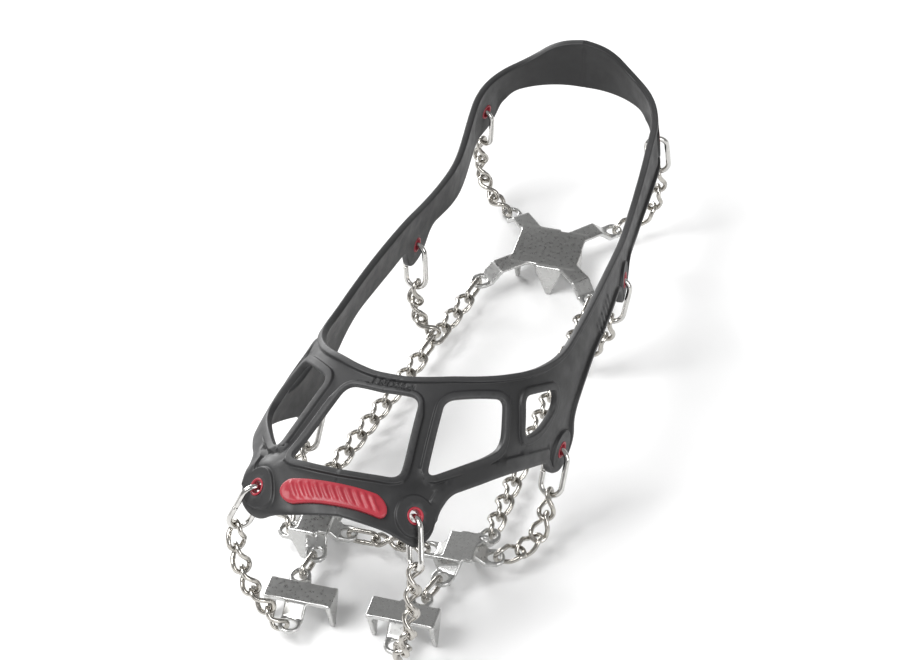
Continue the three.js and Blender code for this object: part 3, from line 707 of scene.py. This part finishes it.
# ---- Label ----
LABEL_LENGTH = 37.5
LABEL_WIDTH = 7.6
LABEL_AT = -130.6
LABEL_FOOT = 1.6       # height of its underside over the last, inside the web
LABEL_TOP = 4.1        # height of its face
LABEL_CROWN = 0.2      # how much the face bulges along the middle
LABEL_ROUND = 0.8
LABEL_CAP_STEPS = 25
LABEL_SPACING = 0.7
LABEL_CLEAR = 0.6
LABEL_ROWS = [0.1, 0.3, 0.6, 0.9, 1.25]
LABEL_RIBS = 11
LABEL_RIB_ARM = (0.7, -1.9)
LABEL_RIB_INSET = 0.5  # of the outer ribs from the ends of the straight part
LABEL_RIB_SPACING = 0.4
LABEL_RIB_CLEAR = 0.2


def label_ribs(arm):
    """The middle lines of the slanted ribs, between -arm and arm."""
    step = 2 * (arm - LABEL_RIB_INSET) / (LABEL_RIBS - 1)
    ribs = []
    for i in range(LABEL_RIBS):
        middle = np.array([-arm + LABEL_RIB_INSET + step * i, LABEL_AT])
        ribs.append(even(np.array([middle - LABEL_RIB_ARM, middle + LABEL_RIB_ARM]), LABEL_RIB_SPACING))
    return ribs


def label():
    """A pill with a rounded edge and a row of slanted generic ribs."""
    half = LABEL_WIDTH / 2
    arm = (LABEL_LENGTH - LABEL_WIDTH) / 2
    spine = np.array([(-arm, LABEL_AT), (arm, LABEL_AT)])
    cap = np.linspace(-math.pi / 2, math.pi / 2, LABEL_CAP_STEPS)
    right = np.stack([arm + half * np.cos(cap), LABEL_AT + half * np.sin(cap)], axis=1)
    left = np.stack([-arm - half * np.cos(cap), LABEL_AT - half * np.sin(cap)], axis=1)
    outline = even(np.vstack([right, left, right[:1]]), LABEL_SPACING)
    ribs = label_ribs(arm)
    rows = offset_rows(outline, LABEL_ROWS)
    for rib in ribs:
        rows += [(row, LABEL_RIB_CLEAR) for row, _ in offset_rows(rib, RIB_ROWS)]
    flat, faces = triangulate(outline, [], [outline], rows, [], LABEL_CLEAR)
    ribbed = marks_share(flat, ribs, RIB_HALF, RIB_FALL)
    crown = LABEL_CROWN * np.clip(1 - (distance(flat, spine) / half) ** 2, 0, 1)
    drop = edge_drop(distance(flat, outline), LABEL_ROUND)
    outer = LABEL_TOP - LABEL_CROWN + crown + RIB_HIGH * ribbed - drop
    inner = np.full(len(flat), LABEL_FOOT)
    corners, everything = two_sided(flat, faces, outer, inner)
    obj = new_object("label_pill", corners, everything, LABEL_RED)
    clean(obj)
    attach(obj, ROOT)
    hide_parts("label")


# ---- Eyelets ----
EYELET_BORE = 2.35
EYELET_WALL = 3.1
EYELET_TOP = PANEL + RAISE + 0.2
EYELET_SIDES = 40


def eyelet_outline():
    """Half the section of an insert, as (radius, height): a lining, and a lip that rolls over the boss."""
    bore, wall, top = EYELET_BORE, EYELET_WALL, EYELET_TOP
    return [
        (bore, 0.3), (bore + 0.3, 0.0), (wall, 0.0), (wall, top - 0.5), (wall + 0.2, top - 0.35),
        (wall + 0.28, top - 0.15), (wall + 0.12, top), (wall - 0.2, top + 0.06), (bore + 0.35, top),
        (bore + 0.1, top - 0.2), (bore, top - 0.5),
    ]


def lathe(rings, sides):
    """Corners and faces of a ring-shaped solid about Z from a closed outline of (radius, height)."""
    points, faces = [], []
    for i in range(sides):
        angle = 2 * math.pi * i / sides
        points += [(r * math.cos(angle), r * math.sin(angle), h) for r, h in rings]
    count = len(rings)
    for i in range(sides):
        here, after = i * count, ((i + 1) % sides) * count
        for k in range(count):
            nxt = (k + 1) % count
            faces.append((here + k, after + k, after + nxt, here + nxt))
    return np.array(points), faces


def eyelet(name, side, sign):
    """A red insert, square to the seat of its boss."""
    s, t = EYELETS[name]
    middle, normal = boss_seat((s, t), sign)
    base = last_point(np.array([sign * s]), np.array([float(t)]))[0]
    base = base - normal * (base - middle).dot(normal)
    turn = np.array(Vector(normal).to_track_quat("Z", "Y").to_matrix())
    corners, faces = lathe(eyelet_outline(), EYELET_SIDES)
    corners = corners @ turn.T + base
    obj = new_object(f"eyelet_insert_{name}_{side}", corners, faces, EYELET_RED)
    clean(obj)
    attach(obj, ROOT)
    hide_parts(f"eyelet_{name}_{side}")


# ---- Wire ----
WIRE_STEPS = 64
WIRE_SIDES = 12
TWIST_MARGIN = 1.0     # how far the twist runs past the straight legs
CROWN_SHARE = 0.6      # corners beyond this share of the first end belong to its crown
ACROSS_WIRE = (0.3, 0.2, 1.0)


def oval(length, width, radius, twist):
    """Centreline of an oval of wire: x along it, y across its first crown, and z across its last one."""
    bend = width / 2 - radius
    straight = length / 2 - width / 2
    quarter = math.pi * bend / 2
    half = 2 * (straight + quarter)
    run = np.linspace(0, 2 * half, WIRE_STEPS, endpoint=False)
    side = np.where(run < half, 1, -1)
    along = np.where(run < half, run, 2 * half - run) - quarter - straight
    past = np.maximum(np.abs(along) - straight, 0) / bend
    x = np.where(past > 0, np.sign(along) * (straight + bend * np.sin(past)), along)
    across = side * bend * np.cos(past)
    twisted = straight + TWIST_MARGIN
    mix = np.clip((x + twisted) / (2 * twisted), 0, 1)
    turn = -twist * mix * mix * (3 - 2 * mix)
    return np.stack([x, across * np.cos(turn), across * np.sin(turn)], axis=1)


def sweep(path, radii, closed):
    """Corners and faces of a round wire along a path, with capped ends if it is open."""
    count = len(path)
    tangent = np.roll(path, -1, axis=0) - np.roll(path, 1, axis=0)
    if not closed:
        tangent[0], tangent[-1] = path[1] - path[0], path[-1] - path[-2]
    tangent /= np.linalg.norm(tangent, axis=1, keepdims=True)
    side = np.cross(tangent[0], ACROSS_WIRE)
    sides = []
    for direction in tangent:
        side = side - direction * side.dot(direction)
        side /= np.linalg.norm(side)
        sides.append(side)
    sides = np.array(sides)
    ups = np.cross(tangent, sides)
    if closed:
        # The frame comes back turned about the wire. The turn is shared out along the path.
        last = sides[-1] - tangent[0] * sides[-1].dot(tangent[0])
        error = math.atan2(last.dot(ups[0]), last.dot(sides[0]))
        turn = -error * np.arange(count) / count
        cos, sin = np.cos(turn)[:, None], np.sin(turn)[:, None]
        sides, ups = sides * cos + ups * sin, ups * cos - sides * sin
    angle = 2 * math.pi * np.arange(WIRE_SIDES) / WIRE_SIDES
    rounds = sides[:, None] * np.cos(angle)[None, :, None] + ups[:, None] * np.sin(angle)[None, :, None]
    points = (path[:, None] + rounds * np.asarray(radii)[:, None, None]).reshape(-1, 3)
    faces = []
    for i in range(count if closed else count - 1):
        here, after = i * WIRE_SIDES, ((i + 1) % count) * WIRE_SIDES
        for k in range(WIRE_SIDES):
            nxt = (k + 1) % WIRE_SIDES
            faces.append((here + k, here + nxt, after + nxt, after + k))
    if not closed:
        faces.append(tuple(range(WIRE_SIDES))[::-1])
        faces.append(tuple(range((count - 1) * WIRE_SIDES, count * WIRE_SIDES)))
    return points, faces


def hinge_line(node):
    """The middle of a node's hinge, the hinge's direction, and the node's corners from that middle."""
    joint = JOINTS[node]
    middle = np.array(joint["pos_m"]) / MM
    along = np.array(joint["axis"]) / np.linalg.norm(joint["axis"])
    corners = np.array([v.co for v in NODES[node].data.vertices]) / MM - middle
    return middle, along, corners


def crown_frame(node):
    """The middle of a wire piece, its axes and its two ends along the first of them.

    The axes run along the piece, across its first crown and square to both.
    """
    middle, along, corners = hinge_line(node)
    stations = corners @ along
    crown = corners[stations < CROWN_SHARE * stations.min()]
    crown = crown - np.outer(crown @ along, along)
    crown = crown - crown.mean(axis=0)
    across = np.linalg.eigh(crown.T @ crown)[1][:, -1]
    across -= along * across.dot(along)
    across /= np.linalg.norm(across)
    return middle, np.array([along, across, np.cross(along, across)]), stations.min(), stations.max()


RING_WIRE = 1.15       # radius of a ring's wire
RING_WIDTH = 11.0
BUTT_AT = 0.27         # where the ends meet, as a share of the way round
BUTT_GAP = 0.16
BUTT_CHAMFER = 0.22    # length of the narrowed ends
BUTT_NARROWED = 0.25   # taken off their radius
LINK_WIRE = 1.0        # radius of a link's wire
LINK_WIDTH = 8.0
WIRE_PLAY = 0.05       # taken off the wire's radius, so that neighbours only just touch
WELD_AT = 0.25         # where the weld bead lies, as a share of the way round
WELD_SPREAD = 0.014
WELD_RAISE = 0.12      # share by which the bead is thicker
QUARTER_TURN = math.pi / 2


def ring(node):
    """An oval of polished wire whose two ends meet on one leg."""
    middle, axes, low, high = crown_frame(node)
    path = oval(high - low, RING_WIDTH, RING_WIRE, 0.0)
    path = np.roll(path, -int(WIRE_STEPS * BUTT_AT), axis=0)
    path = np.vstack([path, path[:1]])
    step = (path[1] - path[0]) / np.linalg.norm(path[1] - path[0])
    path[0] += step * BUTT_GAP / 2
    path[-1] -= step * BUTT_GAP / 2
    chamfer = step * BUTT_CHAMFER
    path = np.vstack([path[:1], path[:1] + chamfer, path[1:-1], path[-1:] - chamfer, path[-1:]])
    radii = np.full(len(path), RING_WIRE - WIRE_PLAY)
    radii[0] = radii[-1] = RING_WIRE - BUTT_NARROWED
    corners, faces = sweep(path, radii, False)
    obj = new_object(f"{node}_wire", corners @ axes + middle, faces, RING_STEEL)
    clean(obj)
    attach(obj, node)
    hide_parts(node)


def weld(count):
    """Wire radii of a link, with a low weld bead on one leg."""
    place = np.arange(count) / count
    bead = np.exp(-((place - WELD_AT) / WELD_SPREAD) ** 2)
    return (LINK_WIRE - WIRE_PLAY) * (1 + WELD_RAISE * bead)


def link_mesh(length, twist):
    """Corners and faces of one closed link."""
    path = oval(length, LINK_WIDTH, LINK_WIRE, twist)
    return sweep(path, weld(len(path)), True)


def chain_link(node):
    """A link of its own: twisted by a quarter turn, or plain between the forefoot plates."""
    middle, axes, low, high = crown_frame(node)
    corners, faces = link_mesh(high - low, 0.0 if "forefoot" in node else QUARTER_TURN)
    obj = new_object(f"{node}_wire", corners @ axes + middle, faces, CHAIN_STEEL)
    clean(obj)
    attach(obj, node)
    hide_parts(node)


# The order of links in the joined stretches. A twisted link turns from upright to flat.
LONG_CHAIN = ["twisted"] * 9 + ["upright", "flat", "twisted", "twisted", "upright"]
CROSS_CHAIN = ["twisted", "twisted", "upright"]
CAD_WELD = 0.7         # how far neighbouring links run into each other in the CAD's one solid


def stretch(node, kinds):
    """The separate links of a chain that the CAD holds as one solid."""
    middle, along, corners = hinge_line(node)
    down = np.array([0.0, 0.0, -1.0])
    down -= along * down.dot(along)
    down /= np.linalg.norm(down)
    flat_axis = np.cross(down, along)
    stations = corners @ along
    beyond = (4 * LINK_WIRE - CAD_WELD) / 2
    pitch = (stations.max() - stations.min() - 2 * beyond) / len(kinds)
    for i, kind in enumerate(kinds):
        centre = middle + along * (stations.min() + beyond + pitch * (i + 0.5))
        first = flat_axis if kind == "flat" else down
        axes = np.array([along, first, np.cross(along, first)])
        corners, faces = link_mesh(pitch + 4 * LINK_WIRE, QUARTER_TURN if kind == "twisted" else 0.0)
        obj = new_object(f"{node}_{i + 1}", corners @ axes + centre, faces, CHAIN_STEEL)
        clean(obj)
        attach(obj, node)
        if i == 0:
            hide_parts(node)


# ---- Spiked plates, in metres ----
PLATE_VOXEL = 0.00045
PLATE_WELD_WITHIN = 1e-6
PLATE_SOFTEN_SHARE = 0.5
PLATE_SOFTEN_STEPS = 3


def rounded_mesh(obj):
    """An object's mesh with every edge and fold rounded, by an even remesh and a few rounds of smoothing."""
    remesh = obj.modifiers.new("even", "REMESH")
    remesh.mode = "VOXEL"
    remesh.voxel_size = PLATE_VOXEL
    soften = obj.modifiers.new("soften", "SMOOTH")
    soften.factor = PLATE_SOFTEN_SHARE
    soften.iterations = PLATE_SOFTEN_STEPS
    bpy.context.view_layer.update()
    evaluated = obj.evaluated_get(bpy.context.evaluated_depsgraph_get())
    mesh = bpy.data.meshes.new_from_object(evaluated)
    obj.modifiers.clear()
    return mesh


def plate(node):
    """The stamping, from the CAD plate's own shape."""
    obj = NODES[node].copy()
    obj.data = NODES[node].data.copy()
    obj.name = f"{node}_stamping"
    for key in list(obj.keys()):
        del obj[key]
    obj.parent = None
    bpy.context.scene.collection.objects.link(obj)
    work = bmesh.new()
    work.from_mesh(obj.data)
    bmesh.ops.remove_doubles(work, verts=work.verts, dist=PLATE_WELD_WITHIN)
    work.to_mesh(obj.data)
    work.free()
    obj.data = rounded_mesh(obj)
    obj.data.shade_smooth()
    obj.data.materials.clear()
    obj.data.materials.append(PLATE_STEEL)
    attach(obj, node)
    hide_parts(node)


harness()
label()
for name in EYELETS:
    eyelet(name, "right", 1.0)
    eyelet(name, "left", -1.0)
for name in sorted(NODES):
    if name.startswith("ring_"):
        ring(name)
    elif name.startswith("link_"):
        chain_link(name)
    elif name.startswith("long_chain"):
        stretch(name, LONG_CHAIN)
    elif name == "cross_chain":
        stretch(name, CROSS_CHAIN)
    elif name.startswith("plate_"):
        plate(name)


# ---- Studio, in metres ----
FLOOR_SIZE = 8
FLOOR_GAP = 0.0003
FLOOR_TONE = (0.86, 0.86, 0.86, 1)
FLOOR_ROUGHNESS = 0.9
LIGHT_TARGET = (0, 0, 0.03)
# name, place, width and height, watts
AREA_LIGHTS = [
    ("key", (-0.6, -0.6, 1.3), (0.8, 0.8), 24),
    ("fill", (1.1, -0.8, 0.6), (0.5, 0.8), 8),
    ("back_left", (-1.2, 1.1, 0.5), (0.9, 0.6), 24),
]
WORLD_TONE = (1, 1, 1, 1)
WORLD_STRENGTH = 0.38
CAMERA_AZIMUTH = 15.0
CAMERA_ELEVATION = 41.0
CAMERA_DISTANCE = 1.1875
CAMERA_TARGET = Vector((0, 0, 0.038))
CAMERA_LENS = 120
CAMERA_SENSOR = 36
CAMERA_SHIFT = (-0.033, -0.0124)


def floor():
    """A pale sheet under the spikes."""
    bpy.ops.mesh.primitive_plane_add(size=FLOOR_SIZE, location=(0, 0, CAD_LOW.z - FLOOR_GAP))
    sheet = bpy.context.object
    sheet.name = "studio_floor"
    material, _, shader = new_material("studio_floor")
    shader.inputs["Base Color"].default_value = FLOOR_TONE
    shader.inputs["Roughness"].default_value = FLOOR_ROUGHNESS
    sheet.data.materials.append(material)


def area_light(name, place, size, power):
    """A soft panel that faces the cleats."""
    data = bpy.data.lights.new(name, "AREA")
    data.shape = "RECTANGLE"
    data.size, data.size_y = size
    data.energy = power
    light = bpy.data.objects.new(name, data)
    light.location = place
    light.rotation_euler = (Vector(LIGHT_TARGET) - Vector(place)).to_track_quat("-Z", "Y").to_euler()
    bpy.context.scene.collection.objects.link(light)


def world():
    """Even white light from all round."""
    surroundings = bpy.data.worlds.new("studio")
    surroundings.use_nodes = True
    background = surroundings.node_tree.nodes["Background"]
    background.inputs["Color"].default_value = WORLD_TONE
    background.inputs["Strength"].default_value = WORLD_STRENGTH
    bpy.context.scene.world = surroundings


def camera():
    """The photograph's viewing angle and framing."""
    azimuth, elevation = math.radians(CAMERA_AZIMUTH), math.radians(CAMERA_ELEVATION)
    level = math.cos(elevation)
    back = Vector((math.sin(azimuth) * level, -math.cos(azimuth) * level, math.sin(elevation)))
    data = bpy.data.cameras.new("camera")
    data.lens = CAMERA_LENS
    data.sensor_width = CAMERA_SENSOR
    data.shift_x, data.shift_y = CAMERA_SHIFT
    eye = bpy.data.objects.new("camera", data)
    eye.location = CAMERA_TARGET + back * CAMERA_DISTANCE
    eye.rotation_euler = (-back).to_track_quat("-Z", "Y").to_euler()
    bpy.context.scene.collection.objects.link(eye)
    bpy.context.scene.camera = eye


floor()
for light in AREA_LIGHTS:
    area_light(*light)
world()
camera()
bpy.context.scene.view_settings.view_transform = "Standard"
